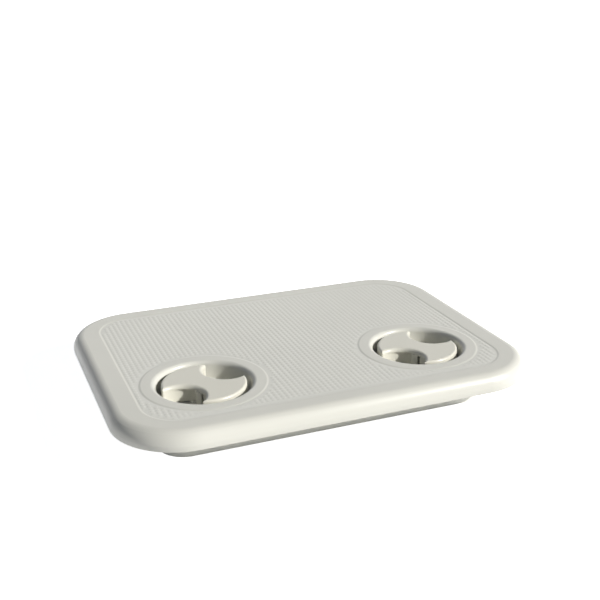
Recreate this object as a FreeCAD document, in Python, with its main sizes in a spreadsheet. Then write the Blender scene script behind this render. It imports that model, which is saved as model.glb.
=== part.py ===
import FreeCAD, Part
import math
import os
import Sketcher
from FreeCAD import Placement, Rotation, Vector

# Locker hatch for a boat's deck: a coaming frame, and a hinged lid held down by two flush turn latches.
# Origin: middle of the frame's lower rim. +X along the long side, +Y to the hinges, +Z up. Millimetres.

doc = FreeCAD.newDocument("locker_hatch")
sheet = doc.addObject("Spreadsheet::Sheet", "Sizes")

# Driving dimensions, in the order of the pieces

SIZES = [
    ("lid_length", 380.0, "outer length of the lid"),
    ("lid_width", 280.0, "outer width of the lid"),
    ("lid_corner", 60.0, "corner radius of the lid seen from above"),
    ("lid_rise", 17.0, "deck to the top of the lid"),
    ("deck_gap", 1.0, "deck to the lower edge of the skirt"),
    ("nose_reach", 10.4, "soft top edge, sideways"),
    ("nose_drop", 11.4, "soft top edge, downwards"),
    ("nose_crown", 9.6, "smaller radius of the soft top edge"),
    ("nose_bevel", 3.0, "bevel inside the soft top edge"),
    ("skirt_tuck", 0.7, "how far the skirt tucks in below its widest line"),
    ("skirt_wall", 3.0, "wall of the skirt"),
    ("lid_plate", 3.0, "thickness of the lid's top plate"),
    ("edge_band", 15.0, "width of the lid's edge band"),
    ("panel_length", 327.6, "length of the recessed tread panel"),
    ("panel_width", 234.0, "width of the recessed tread panel"),
    ("panel_corner", 33.5, "corner radius of the tread panel"),
    ("panel_depth", 0.35, "depth of the tread panel below the rim"),
    ("tread_pitch", 4.6, "pitch of the tread ridges"),
    ("tread_base", 3.5, "width of a tread ridge at its foot"),
    ("tread_crest", 1.5, "width of a tread ridge at its crest"),
    ("tread_height", 0.35, "height of a tread ridge"),
    ("tread_root", 0.4, "depth of a tread ridge in the panel's floor"),
    ("tread_margin", 1.0, "bare strip between the tread and its borders"),
    ("latch_side", 47.8, "latch axis to the side of the collar"),
    ("latch_front", 45.8, "latch axis to the front of the collar"),
    ("island_radius", 54.6, "smooth round island about a latch"),
    ("well_mouth", 41.5, "radius of a latch well below its rounded mouth"),
    ("well_foot", 38.6, "radius of a latch well at its floor"),
    ("well_round", 4.4, "rounding of the well's mouth"),
    ("well_bowl", 4.0, "rounding between the well's wall and floor"),
    ("well_depth", 17.0, "depth of a latch well"),
    ("well_wall", 2.4, "wall of a latch well"),
    ("well_floor", 2.5, "floor of a latch well"),
    ("boss_radius", 13.0, "shaft boss below a well"),
    ("boss_length", 4.5, "length of the shaft boss below the well's floor"),
    ("rib_wall", 2.0, "stiffening rib under the lid"),
    ("rib_depth", 7.0, "depth of a stiffening rib"),
    ("rib_pitch", 36.0, "pitch of the stiffening ribs"),
    ("channel_wall", 1.5, "wall beside the lid seal"),
    ("channel_depth", 2.6, "depth of the walls beside the lid seal"),
    ("seal_width", 8.0, "width of the lid seal"),
    ("seal_height", 4.0, "height of the lid seal"),
    ("seal_ease", 0.1, "lid seal to the walls beside it"),
    ("seal_gap", 0.3, "lid seal to the frame's lip"),
    ("knob_radius", 36.6, "radius of a latch knob"),
    ("knob_sink", 0.6, "knob's top below the rim"),
    ("knob_gap", 1.0, "underside of a knob to the floor of its well"),
    ("knob_round", 2.2, "rounding of the knob's rim at its top"),
    ("horn_round", 0.8, "rounding of the upright edges where a bite meets the knob's rim"),
    ("knob_skin", 3.0, "top skin of a knob"),
    ("knob_wall", 2.4, "side walls of a knob"),
    ("bite_radius", 20.4, "radius of a finger bite in a knob"),
    ("bite_offset", 31.9, "middle of a finger bite to the knob's axis"),
    ("bite_angle", 37.0, "direction of the rear finger bite from the long side, degrees"),
    ("bite_round", 3.2, "rounding of a finger bite's top edge"),
    ("under_radius", 23.8, "radius of the undercut below a bite's rounded edge"),
    ("under_shift", 3.2, "middle of the undercut to the middle of the bite, across"),
    ("under_drop", 3.8, "top of the undercut below the knob's top"),
    ("flat_width", 6.2, "flat rib in a finger bite beside the hub"),
    ("flat_shift", 3.4, "middle of the flat rib to the middle of the bite, across"),
    ("flat_proud", 1.2, "flat rib out of the bite's wall"),
    ("flat_drop", 4.0, "top of the flat rib below the knob's top"),
    ("slot_width", 2.8, "moulding slot beside the flat rib"),
    ("slot_depth", 3.5, "depth of the moulding slot from the bite's wall"),
    ("slot_drop", 4.4, "top of the moulding slot below the knob's top"),
    ("web_wall", 2.0, "webs inside a knob"),
    ("hub_radius", 10.0, "hub inside a knob"),
    ("shaft_radius", 8.0, "shaft of a knob"),
    ("shaft_fit", 0.05, "running fit of shafts and pins, per side"),
    ("square_side", 11.0, "square end of the shaft"),
    ("ring_section", 1.0, "section radius of the shaft's sealing ring"),
    ("ring_gap", 0.3, "sealing ring to the bore"),
    ("thrust_radius", 12.5, "outer radius of the thrust washer under a knob"),
    ("thrust_gap", 0.1, "end play of the thrust washer"),
    ("cam_play", 0.1, "end play of the cam under its boss"),
    ("cam_hub", 11.0, "radius of the cam's hub"),
    ("cam_reach", 40.0, "latch axis to the tip of the cam"),
    ("cam_tip", 6.5, "radius of the cam's tip"),
    ("cam_plate", 5.0, "thickness of the cam"),
    ("cam_bevel", 1.2, "lead-in bevel along the cam's arm and tip"),
    ("washer_radius", 7.5, "outer radius of the cam washer"),
    ("washer_plate", 1.0, "thickness of the cam washer"),
    ("screw_radius", 2.1, "radius of the cam screw"),
    ("screw_head", 4.2, "radius of the cam screw's head"),
    ("screw_dome", 2.6, "height of the cam screw's head"),
    ("screw_round", 1.8, "rounding of the cam screw's head"),
    ("screw_length", 11.0, "length of the cam screw below its head"),
    ("recess_width", 1.0, "width of the cross recess in the screw's head"),
    ("recess_reach", 2.2, "reach of the cross recess from the screw's axis"),
    ("recess_depth", 1.5, "depth of the cross recess"),
    ("collar_setback", 40.0, "lid's outer edge to the outside of the collar"),
    ("collar_corner", 24.0, "outer corner radius of the collar"),
    ("collar_depth", 26.0, "depth of the collar below the deck"),
    ("collar_wall", 3.0, "wall of the collar"),
    ("flange_plate", 3.0, "thickness of the flange"),
    ("flange_gap", 4.0, "flange's edge to the inside of the skirt"),
    ("lip_setback", 5.0, "outside of the collar to the inside of the sealing lip"),
    ("lip_wall", 2.5, "wall of the sealing lip"),
    ("catch_reach", 8.0, "catch ledge, out from the collar's inside"),
    ("catch_width", 30.0, "length of a catch ledge along the collar"),
    ("catch_plate", 3.0, "thickness of a catch ledge"),
    ("catch_bevel", 1.5, "rise of the lead-in at both ends of a catch ledge"),
    ("catch_gap", 0.4, "cam's top to the underside of a catch ledge"),
    ("bolt_line", 17.0, "outside of the collar to the line of the deck screws"),
    ("bolt_spread", 60.0, "middle of the hatch to the screws in the long sides"),
    ("bolt_radius", 2.4, "hole for a deck screw"),
    ("bolt_sink", 4.6, "countersink of a deck screw's hole, radius at the top"),
    ("hinge_side", 90.0, "middle of a hinge to the side edge of the lid"),
    ("hinge_inset", 8.0, "hinge axis to the rear edge and to the top of the lid"),
    ("hinge_eye", 4.4, "outer radius of the hinge eyes"),
    ("hinge_gap", 0.4, "side play between the hinge eyes"),
    ("hinge_slack", 0.6, "turning rear edge of the lid to the flange"),
    ("lug_width", 12.0, "width of the lid's hinge eye"),
    ("ear_width", 5.0, "width of one of the frame's hinge ears"),
    ("ear_foot", 9.5, "foot of a hinge ear along the flange"),
    ("ear_round", 2.5, "rounding of a hinge ear's front corner"),
    ("arm_drop", 1.0, "underside of a hinge ear's arm below the hinge axis"),
    ("pin_radius", 2.0, "radius of a hinge pin"),
    ("pin_bevel", 0.4, "bevel on the ends of a hinge pin"),
]


class Size:
    """A length that knows its value and the sheet expression it comes from."""

    def __init__(self, value, text):
        self.value = float(value)
        self.text = text

    @staticmethod
    def of(other):
        if isinstance(other, Size):
            return other
        return Size(other, repr(float(other)))

    def __add__(self, other):
        other = Size.of(other)
        return Size(self.value + other.value, "(%s + %s)" % (self.text, other.text))

    def __sub__(self, other):
        other = Size.of(other)
        return Size(self.value - other.value, "(%s - %s)" % (self.text, other.text))

    def __rsub__(self, other):
        return Size.of(other) - self

    def __mul__(self, other):
        other = Size.of(other)
        return Size(self.value * other.value, "(%s * %s)" % (self.text, other.text))

    def __truediv__(self, other):
        other = Size.of(other)
        return Size(self.value / other.value, "(%s / %s)" % (self.text, other.text))

    def __neg__(self):
        return Size(-self.value, "(0 - %s)" % self.text)

    __radd__ = __add__
    __rmul__ = __mul__


def cosine(angle):
    return Size(math.cos(math.radians(angle.value)), "cos(%s)" % angle.text)


def sine(angle):
    return Size(math.sin(math.radians(angle.value)), "sin(%s)" % angle.text)


class Sizes:
    """One Size for each named cell of the sheet."""


d = Sizes()
for row, (alias, number, meaning) in enumerate(SIZES, start=1):
    sheet.set("A%d" % row, meaning)
    sheet.set("B%d" % row, str(number))
    sheet.setAlias("B%d" % row, alias)
    setattr(d, alias, Size(number, "Sizes." + alias))
doc.recompute()

# Levels and places worked out from the driving dimensions

ZERO = Size(0, "0")
MARGIN = Size(1, "1")   # how far a cutting shape passes beyond what it cuts, or a fused one sinks in
deck = d.collar_depth
top = deck + d.lid_rise
plate_under = top - d.lid_plate
skirt_low = deck + d.deck_gap
flange_top = deck + d.flange_plate
well_level = top - d.well_depth
cup_low = well_level - d.well_floor
boss_low = cup_low - d.boss_length
lip_top = plate_under - d.seal_height - d.seal_gap
half_x = d.lid_length / 2
half_y = d.lid_width / 2
collar_x = half_x - d.collar_setback
collar_y = half_y - d.collar_setback
inside_y = collar_y - d.collar_wall
seal_line = d.lip_setback + d.lip_wall / 2
latch_x = collar_x - d.latch_side
latch_y = d.latch_front - collar_y
hinge_x = half_x - d.hinge_side
hinge_y = half_y - d.hinge_inset
hinge_z = top - d.hinge_inset
flange_rear = hinge_y - d.hinge_inset - d.hinge_slack
knob_top = top - d.knob_sink
knob_low = well_level + d.knob_gap
bite_wall = d.bite_offset - d.bite_radius
bore_radius = d.shaft_radius + d.shaft_fit
ring_level = (well_level + boss_low) / 2
ring_core = bore_radius - d.ring_gap - d.ring_section * 2 - d.shaft_fit
cam_top = boss_low - d.cam_play
cam_low = cam_top - d.cam_plate
screw_seat = cam_low - d.washer_plate


# Drawing helpers

def new_body(label):
    body = doc.addObject("PartDesign::Body", label)
    body.Label = label
    return body


def origin_part(body, role):
    for feature in body.Origin.OriginFeatures:
        if feature.Role == role:
            return feature
    raise RuntimeError("no origin feature " + role)


def sketch_on(body, name, role, x=ZERO, y=ZERO, out=ZERO):
    """A sketch on an origin plane, its origin moved by x and y in the plane and by out along the normal."""
    sketch = body.newObject("Sketcher::SketchObject", name)
    sketch.AttachmentSupport = [(origin_part(body, role), "")]
    sketch.MapMode = "FlatFace"
    sketch.AttachmentOffset = Placement(Vector(x.value, y.value, out.value), Rotation())
    for axis, size in (("x", x), ("y", y), ("z", out)):
        if size is not ZERO:
            sketch.setExpression("AttachmentOffset.Base." + axis, size.text)
    return sketch


def fix(sketch, kind, *references):
    """Adds a dimension whose last reference is a Size, bound to the sheet."""
    size = references[-1]
    index = sketch.addConstraint(Sketcher.Constraint(kind, *references[:-1], size.value))
    sketch.setExpression("Constraints[%d]" % index, size.text)


def fix_point(sketch, geometry, point, x, y):
    fix(sketch, "DistanceX", -1, 1, geometry, point, x)
    fix(sketch, "DistanceY", -1, 1, geometry, point, y)


def join(sketch, kind, *references):
    sketch.addConstraint(Sketcher.Constraint(kind, *references))


def add_line(sketch, start, end):
    return sketch.addGeometry(Part.LineSegment(start, end), False)


def add_arc(sketch, centre, radius, start, end):
    """An arc that runs anticlockwise from the angle start to the angle end, in radians."""
    ring = Part.Circle(centre, Vector(0, 0, 1), radius)
    return sketch.addGeometry(Part.ArcOfCircle(ring, start, end), False)


def draw_circle(sketch, x, y, radius):
    centre = Vector(x.value, y.value, 0)
    index = sketch.addGeometry(Part.Circle(centre, Vector(0, 0, 1), radius.value), False)
    fix(sketch, "Radius", index, radius)
    fix_point(sketch, index, 3, x, y)


def draw_outline(sketch, corners):
    """A closed outline through (x, y) corners, with an arc where a corner has a radius as a third entry."""
    count = len(corners)
    places = [Vector(corner[0].value, corner[1].value, 0) for corner in corners]
    arrivals = []
    departures = []
    arcs = []
    for i, corner in enumerate(corners):
        here = places[i]
        back = (places[i - 1] - here).normalize()
        ahead = (places[(i + 1) % count] - here).normalize()
        if len(corner) == 2:
            arrivals.append(here)
            departures.append(here)
            arcs.append(None)
            continue
        half_angle = back.getAngle(ahead) / 2
        setback = corner[2].value / math.tan(half_angle)
        arrivals.append(here + back * setback)
        departures.append(here + ahead * setback)
        centre = here + (back + ahead).normalize() * (corner[2].value / math.sin(half_angle))
        arcs.append((centre, back.cross(ahead).z < 0))
    lines = [add_line(sketch, departures[i], arrivals[(i + 1) % count]) for i in range(count)]
    for i, corner in enumerate(corners):
        before = lines[i - 1]
        after = lines[i]
        if arcs[i] is None:
            join(sketch, "Coincident", before, 2, after, 1)
            fix_point(sketch, after, 1, corner[0], corner[1])
            continue
        centre, leftward = arcs[i]
        ends = [arrivals[i], departures[i]] if leftward else [departures[i], arrivals[i]]
        angles = [math.atan2(end.y - centre.y, end.x - centre.x) for end in ends]
        if angles[1] < angles[0]:
            angles[1] += 2 * math.pi
        arc = add_arc(sketch, centre, corner[2].value, angles[0], angles[1])
        vertex = sketch.addGeometry(Part.Point(places[i]), True)
        fix_point(sketch, vertex, 1, corner[0], corner[1])
        join(sketch, "PointOnObject", vertex, 1, before)
        join(sketch, "PointOnObject", vertex, 1, after)
        join(sketch, "Tangent", before, 2, arc, 1 if leftward else 2)
        join(sketch, "Tangent", arc, 2 if leftward else 1, after, 1)
        fix(sketch, "Radius", arc, corner[2])


def draw_rounded(sketch, reach_x, reach_y, radius):
    """A rounded rectangle about the sketch's origin, begun in the middle of its right side."""
    a, b, r = reach_x.value, reach_y.value, radius.value
    first = sketch.GeometryCount
    ends = [((a, 0), (a, b - r)), ((a - r, b), (r - a, b)), ((-a, b - r), (-a, r - b)),
            ((r - a, -b), (a - r, -b)), ((a, r - b), (a, 0))]
    centres = [(a - r, b - r), (r - a, b - r), (r - a, r - b), (a - r, r - b)]
    for side, (start, end) in enumerate(ends):
        add_line(sketch, Vector(*start), Vector(*end))
        if side < len(centres):
            add_arc(sketch, Vector(*centres[side]), r, side * math.pi / 2, (side + 1) * math.pi / 2)
    for piece in range(8):
        join(sketch, "Tangent", first + piece, 2, first + piece + 1, 1)
    join(sketch, "Coincident", first + 8, 2, first, 1)
    join(sketch, "PointOnObject", first, 1, -1)
    for line, kind in ((0, "Vertical"), (2, "Horizontal"), (4, "Vertical"), (6, "Horizontal")):
        join(sketch, kind, first + line)
    join(sketch, "Vertical", first + 8)
    for arc in (3, 5, 7):
        join(sketch, "Equal", first + 1, first + arc)
    fix(sketch, "Radius", first + 1, radius)
    fix(sketch, "DistanceX", -1, 1, first, 1, reach_x)
    fix(sketch, "DistanceY", -1, 1, first + 2, 1, reach_y)
    fix(sketch, "DistanceX", -1, 1, first + 4, 1, -reach_x)
    fix(sketch, "DistanceY", -1, 1, first + 6, 1, -reach_y)


def draw_box(sketch, left, right, low, high):
    draw_outline(sketch, [(left, low), (right, low), (right, high), (left, high)])


def draw_quarter_gap(sketch, x, y, radius, right, low):
    """The area below and to the right of a point that lies outside a circle about it."""
    centre = Vector(x.value, y.value, 0)
    corners = [(x + radius, y), (right, y), (right, low), (x, low), (x, y - radius)]
    places = [Vector(a.value, b.value, 0) for a, b in corners]
    lines = [add_line(sketch, start, end) for start, end in zip(places, places[1:])]
    arc = add_arc(sketch, centre, radius.value, -math.pi / 2, 0)
    for before, after in zip(lines, lines[1:]):
        join(sketch, "Coincident", before, 2, after, 1)
    join(sketch, "Coincident", lines[-1], 2, arc, 1)
    join(sketch, "Coincident", arc, 2, lines[0], 1)
    join(sketch, "Horizontal", arc, 3, lines[0], 1)
    join(sketch, "Vertical", arc, 3, lines[-1], 2)
    fix(sketch, "Radius", arc, radius)
    fix_point(sketch, arc, 3, x, y)
    fix_point(sketch, lines[1], 1, right, y)
    fix_point(sketch, lines[2], 1, right, low)
    fix_point(sketch, lines[3], 1, x, low)


def draw_ring(sketch, offset, wall):
    """A band of the given wall about the collar, its inner side set out by offset."""
    for grow in (offset, offset + wall):
        draw_rounded(sketch, collar_x + grow, collar_y + grow, d.collar_corner + grow)


def extrude(body, kind, name, sketch, length, reverse=False, middle=False):
    """A Pad, or a Pocket, which goes against its sketch's normal unless reversed."""
    feature = body.newObject("PartDesign::" + kind, name)
    feature.Profile = sketch
    feature.Length = length.value
    feature.setExpression("Length", length.text)
    feature.Reversed = reverse
    if middle:
        feature.SideType = "Symmetric"
    return feature


def turn(body, kind, name, sketch):
    """A Revolution, or a Groove, about the sketch's own upright axis."""
    feature = body.newObject("PartDesign::" + kind, name)
    feature.Profile = sketch
    feature.ReferenceAxis = (sketch, ["V_Axis"])
    feature.Angle = 360
    return feature


def mirror(body, name, originals):
    """Repeats features on the other side of the hatch's middle."""
    feature = body.newObject("PartDesign::Mirrored", name)
    feature.Originals = originals
    feature.MirrorPlane = (origin_part(body, "YZ_Plane"), [""])
    body.Tip = feature
    return feature


def place(feature, x=ZERO, y=ZERO, z=ZERO, rotation=None):
    feature.Placement = Placement(Vector(x.value, y.value, z.value), rotation or Rotation())
    for axis, size in (("x", x), ("y", y), ("z", z)):
        if size is not ZERO:
            feature.setExpression("Placement.Base." + axis, size.text)


def bind(feature, **sizes):
    for name, size in sizes.items():
        setattr(feature, name, size.value)
        feature.setExpression(name, size.text)


def cylinder(name, radius, low, high, x=ZERO, y=ZERO):
    feature = doc.addObject("Part::Cylinder", name)
    bind(feature, Radius=radius, Height=high - low)
    place(feature, x, y, low)
    return feature


def combine(kind, name, base, tool):
    """A Part::Cut, Part::Fuse or Part::Common of two features."""
    feature = doc.addObject("Part::" + kind, name)
    feature.Base = base
    feature.Tool = tool
    feature.Refine = True
    return feature


def edges_where(shape, wanted):
    return ["Edge%d" % number for number, edge in enumerate(shape.Edges, start=1) if wanted(edge)]


# Lid

def lid_edge(body):
    """The soft edge and the skirt: one section swept round the lid's outline."""
    path = sketch_on(body, "EdgePath", "XY_Plane", out=top)
    draw_rounded(path, half_x, half_y, d.lid_corner)
    section = sketch_on(body, "EdgeSection", "XZ_Plane")
    inner = half_x - d.edge_band
    flat_end = half_x - d.nose_reach
    widest = top - d.nose_drop
    reach, drop, small = d.nose_reach.value, d.nose_drop.value, d.nose_crown.value
    large = (reach ** 2 + drop ** 2 - 2 * drop * small) / (2 * (reach - small))
    joint = math.atan2(drop - small, large - reach)
    tuck = widest.value - skirt_low.value
    curl = (tuck ** 2 + d.skirt_tuck.value ** 2) / (2 * d.skirt_tuck.value)
    crown_centre = Vector(flat_end.value, top.value - small, 0)
    side_centre = Vector(half_x.value - large, widest.value, 0)
    curl_centre = Vector(half_x.value - curl, widest.value, 0)
    add_arc(section, crown_centre, small, joint, math.pi / 2)
    add_arc(section, side_centre, large, 0, joint)
    add_arc(section, curl_centre, curl, -math.asin(tuck / curl), 0)
    corners = [(half_x - d.skirt_tuck, skirt_low), (half_x - d.skirt_tuck - d.skirt_wall, skirt_low),
               (half_x - d.skirt_wall, widest), (half_x - d.skirt_wall, plate_under - d.nose_bevel),
               (half_x - d.skirt_wall - d.nose_bevel, plate_under), (inner, plate_under), (inner, top),
               (flat_end, top)]
    places = [Vector(x.value, y.value, 0) for x, y in corners]
    lines = [add_line(section, start, end) for start, end in zip(places, places[1:])]
    join(section, "Tangent", 1, 2, 0, 1)
    join(section, "Coincident", 2, 2, 1, 1)
    join(section, "Coincident", 2, 1, lines[0], 1)
    join(section, "Coincident", 0, 2, lines[-1], 2)
    join(section, "Vertical", 0, 3, 0, 2)
    join(section, "Horizontal", 1, 3, 1, 1)
    join(section, "Horizontal", 2, 3, 2, 2)
    fix(section, "Radius", 0, d.nose_crown)
    fix_point(section, 1, 1, half_x, widest)
    for before, after in zip(lines, lines[1:]):
        join(section, "Coincident", before, 2, after, 1)
    for line, (x, y) in zip(lines, corners):
        fix_point(section, line, 1, x, y)
    fix_point(section, lines[-1], 2, flat_end, top)
    sweep = body.newObject("PartDesign::AdditivePipe", "Edge")
    sweep.Profile = section
    sweep.Spine = (path, [])
    return sweep


def lid_plate(body):
    """The plate inside the edge band, with a sunken tread panel and a flush island about each latch."""
    plate = sketch_on(body, "PlateOutline", "XY_Plane", out=top)
    draw_rounded(plate, half_x - d.edge_band, half_y - d.edge_band, d.lid_corner - d.edge_band)
    extrude(body, "Pad", "Plate", plate, d.lid_plate, reverse=True)
    panel = sketch_on(body, "PanelOutline", "XY_Plane", out=top)
    draw_rounded(panel, d.panel_length / 2, d.panel_width / 2, d.panel_corner)
    extrude(body, "Pocket", "Panel", panel, d.panel_depth)
    island = sketch_on(body, "IslandOutline", "XY_Plane", out=top)
    draw_circle(island, latch_x, latch_y, d.island_radius)
    island_pad = extrude(body, "Pad", "Island", island, d.panel_depth, reverse=True)
    mirror(body, "IslandPair", [island_pad])


def multiples(pitch, limit):
    """The multiples of a pitch, both ways from the middle, that stay inside a limit."""
    count = int(math.floor(limit.value / pitch.value))
    return [pitch * number for number in range(-count, count + 1)]


def lid_ribs(body):
    """Stiffening ribs both ways under the plate, ended in the wall inside the seal."""
    end = seal_line - d.seal_width / 2 - d.seal_ease - d.channel_wall / 2
    crosswise = sketch_on(body, "CrossRibLines", "XY_Plane", out=plate_under)
    for x in multiples(d.rib_pitch, collar_x - d.collar_corner):
        draw_box(crosswise, x - d.rib_wall / 2, x + d.rib_wall / 2, -(collar_y + end), collar_y + end)
    extrude(body, "Pad", "CrossRibs", crosswise, d.rib_depth, reverse=True)
    lengthwise = sketch_on(body, "LongRibLines", "XY_Plane", out=plate_under)
    for y in multiples(d.rib_pitch, collar_y - d.collar_corner):
        draw_box(lengthwise, -(collar_x + end), collar_x + end, y - d.rib_wall / 2, y + d.rib_wall / 2)
    extrude(body, "Pad", "LongRibs", lengthwise, d.rib_depth, reverse=True)


def lid_channel(body):
    """The two low walls that hold the seal."""
    walls = sketch_on(body, "ChannelWalls", "XY_Plane", out=plate_under)
    side = d.seal_width / 2 + d.seal_ease
    draw_ring(walls, seal_line - side - d.channel_wall, d.channel_wall)
    draw_ring(walls, seal_line + side, d.channel_wall)
    extrude(body, "Pad", "Channel", walls, d.channel_depth, reverse=True)


def lid_wells(body):
    """Two round wells with a shaft boss under each, turned about the latch axes."""
    cup = sketch_on(body, "CupSection", "XZ_Plane", x=latch_x, out=-latch_y)
    draw_outline(cup, [(ZERO, plate_under + MARGIN), (d.well_mouth + d.well_wall, plate_under + MARGIN),
                       (d.well_foot + d.well_wall, cup_low, d.well_bowl), (d.boss_radius, cup_low),
                       (d.boss_radius, boss_low), (ZERO, boss_low)])
    cup_turn = turn(body, "Revolution", "Cup", cup)
    well = sketch_on(body, "WellSection", "XZ_Plane", x=latch_x, out=-latch_y)
    draw_outline(well, [(ZERO, top + MARGIN), (d.well_mouth + d.well_round * 2, top + MARGIN),
                        (d.well_mouth + d.well_round * 2, top), (d.well_mouth, top, d.well_round),
                        (d.well_foot, well_level, d.well_bowl), (bore_radius, well_level),
                        (bore_radius, boss_low - MARGIN), (ZERO, boss_low - MARGIN)])
    well_turn = turn(body, "Groove", "Well", well)
    mirror(body, "WellPair", [cup_turn, well_turn])


def lid_hinges(body):
    """A lug under the plate for each hinge pin, and the rear edge rounded about the hinge axis."""
    eye = sketch_on(body, "LugEye", "YZ_Plane", out=hinge_x)
    draw_circle(eye, hinge_y, hinge_z, d.hinge_eye)
    eye_pad = extrude(body, "Pad", "Eye", eye, d.lug_width, middle=True)
    neck = sketch_on(body, "LugNeck", "YZ_Plane", out=hinge_x)
    draw_box(neck, hinge_y - d.hinge_eye, hinge_y + d.hinge_eye, hinge_z, plate_under + d.lid_plate / 4)
    neck_pad = extrude(body, "Pad", "Neck", neck, d.lug_width, middle=True)
    bore = sketch_on(body, "LugBore", "YZ_Plane", out=hinge_x)
    draw_circle(bore, hinge_y, hinge_z, d.pin_radius + d.shaft_fit)
    bore_cut = extrude(body, "Pocket", "Bore", bore, d.lug_width + MARGIN * 2, middle=True)
    mirror(body, "LugPair", [eye_pad, neck_pad, bore_cut])
    swing = sketch_on(body, "RearSwing", "YZ_Plane")
    draw_quarter_gap(swing, hinge_y, hinge_z, d.hinge_inset, half_y + MARGIN, skirt_low - MARGIN)
    extrude(body, "Pocket", "RearRound", swing, d.lid_length, middle=True)


def tread_ridges():
    """Anti-slip ridges from front to rear, cut short of the panel's border and of the islands."""
    base, crest = d.tread_base.value / 2, d.tread_crest.value / 2
    floor = top.value - d.panel_depth.value
    foot, peak = floor - d.tread_root.value, floor + d.tread_height.value
    reach_x = d.panel_length.value / 2 - d.tread_margin.value
    reach_y = d.panel_width.value / 2 - d.tread_margin.value
    corner = d.panel_corner.value - d.tread_margin.value
    pitch = d.tread_pitch.value
    count = int((reach_x - base) // pitch)
    keep_out = d.island_radius.value + d.tread_margin.value
    ridges = []
    for number in range(-count, count + 1):
        x = number * pitch
        inset = max(0.0, abs(x) + base - (reach_x - corner))
        end = reach_y - corner + math.sqrt(corner ** 2 - inset ** 2)
        near = abs(abs(x) - latch_x.value) - base
        stretches = [(-end, end)]
        if near < keep_out:
            half_gap = math.sqrt(keep_out ** 2 - max(0.0, near) ** 2)
            stretches = [(-end, latch_y.value - half_gap), (latch_y.value + half_gap, end)]
        for start, finish in stretches:
            if finish - start < pitch:
                continue
            section = Part.makePolygon([Vector(x - base, start, foot), Vector(x + base, start, foot),
                                        Vector(x + base, start, floor), Vector(x + crest, start, peak),
                                        Vector(x - crest, start, peak), Vector(x - base, start, floor),
                                        Vector(x - base, start, foot)])
            ridges.append(Part.Face(section).extrude(Vector(0, finish - start, 0)))
    tread = doc.addObject("Part::Feature", "tread")
    tread.Shape = Part.makeCompound(ridges)
    return tread


def make_lid():
    body = new_body("lid_moulding")
    lid_edge(body)
    lid_plate(body)
    lid_ribs(body)
    lid_channel(body)
    lid_wells(body)
    lid_hinges(body)
    lid = combine("Fuse", "lid", body, tread_ridges())
    lid.Refine = False
    return lid


def make_seal():
    """The soft seal between the lid's low walls, over the frame's lip."""
    body = new_body("lid_seal")
    band = sketch_on(body, "SealBand", "XY_Plane", out=plate_under)
    draw_ring(band, seal_line - d.seal_width / 2, d.seal_width)
    extrude(body, "Pad", "Seal", band, d.seal_height, reverse=True)
    return body


# Frame

def frame_walls(body):
    """Flange, collar and sealing lip."""
    inset = d.skirt_wall + d.flange_gap
    outline = sketch_on(body, "FlangeOutline", "XY_Plane", out=deck)
    draw_rounded(outline, half_x - inset, half_y - inset, d.lid_corner - inset)
    extrude(body, "Pad", "Flange", outline, d.flange_plate)
    rear = sketch_on(body, "RearEdge", "XY_Plane", out=flange_top)
    draw_box(rear, -half_x, half_x, flange_rear, half_y)
    extrude(body, "Pocket", "RearCut", rear, d.flange_plate)
    collar = sketch_on(body, "CollarOutline", "XY_Plane")
    draw_rounded(collar, collar_x, collar_y, d.collar_corner)
    extrude(body, "Pad", "Collar", collar, deck)
    opening = sketch_on(body, "Opening", "XY_Plane", out=flange_top)
    draw_rounded(opening, collar_x - d.collar_wall, inside_y, d.collar_corner - d.collar_wall)
    extrude(body, "Pocket", "Passage", opening, flange_top)
    lip = sketch_on(body, "LipLine", "XY_Plane", out=flange_top)
    draw_ring(lip, d.lip_setback, d.lip_wall)
    extrude(body, "Pad", "Lip", lip, lip_top - flange_top)


def deck_screw_places():
    """Screw places on the flange: four corners, two in each long side and one in each short side."""
    diagonal = (d.collar_corner + d.bolt_line) * math.sqrt(0.5)
    corner_x = collar_x - d.collar_corner + diagonal
    corner_y = collar_y - d.collar_corner + diagonal
    side_y = collar_y + d.bolt_line
    side_x = collar_x + d.bolt_line
    places = []
    for sign in (1, -1):
        places += [(corner_x * sign, corner_y), (corner_x * sign, -corner_y)]
        places += [(d.bolt_spread * sign, side_y), (d.bolt_spread * sign, -side_y)]
        places += [(side_x * sign, ZERO)]
    return places


def frame_screw_holes(body):
    centres = sketch_on(body, "ScrewCentres", "XY_Plane", out=flange_top)
    for x, y in deck_screw_places():
        draw_circle(centres, x, y, d.bolt_radius)
    doc.recompute()
    hole = body.newObject("PartDesign::Hole", "ScrewHoles")
    hole.Profile = centres
    hole.ThreadType = "None"
    hole.DepthType = "ThroughAll"
    hole.HoleCutType = "Countersink"
    hole.HoleCutCustomValues = True
    bind(hole, Diameter=d.bolt_radius * 2, HoleCutDiameter=d.bolt_sink * 2)
    hole.HoleCutCountersinkAngle = 90


def frame_catches(body):
    """A ledge for each cam, bevelled at both ends to draw it in."""
    half = d.catch_width / 2
    run = d.catch_bevel * 2
    low = cam_top + d.catch_gap
    ledge = sketch_on(body, "CatchSection", "XZ_Plane", x=latch_x, out=inside_y + MARGIN)
    draw_outline(ledge, [(-half, low + d.catch_bevel), (run - half, low), (half - run, low),
                         (half, low + d.catch_bevel), (half, low + d.catch_plate),
                         (-half, low + d.catch_plate)])
    catch = extrude(body, "Pad", "Catch", ledge, d.catch_reach + MARGIN, reverse=True)
    mirror(body, "CatchPair", [catch])


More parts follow.
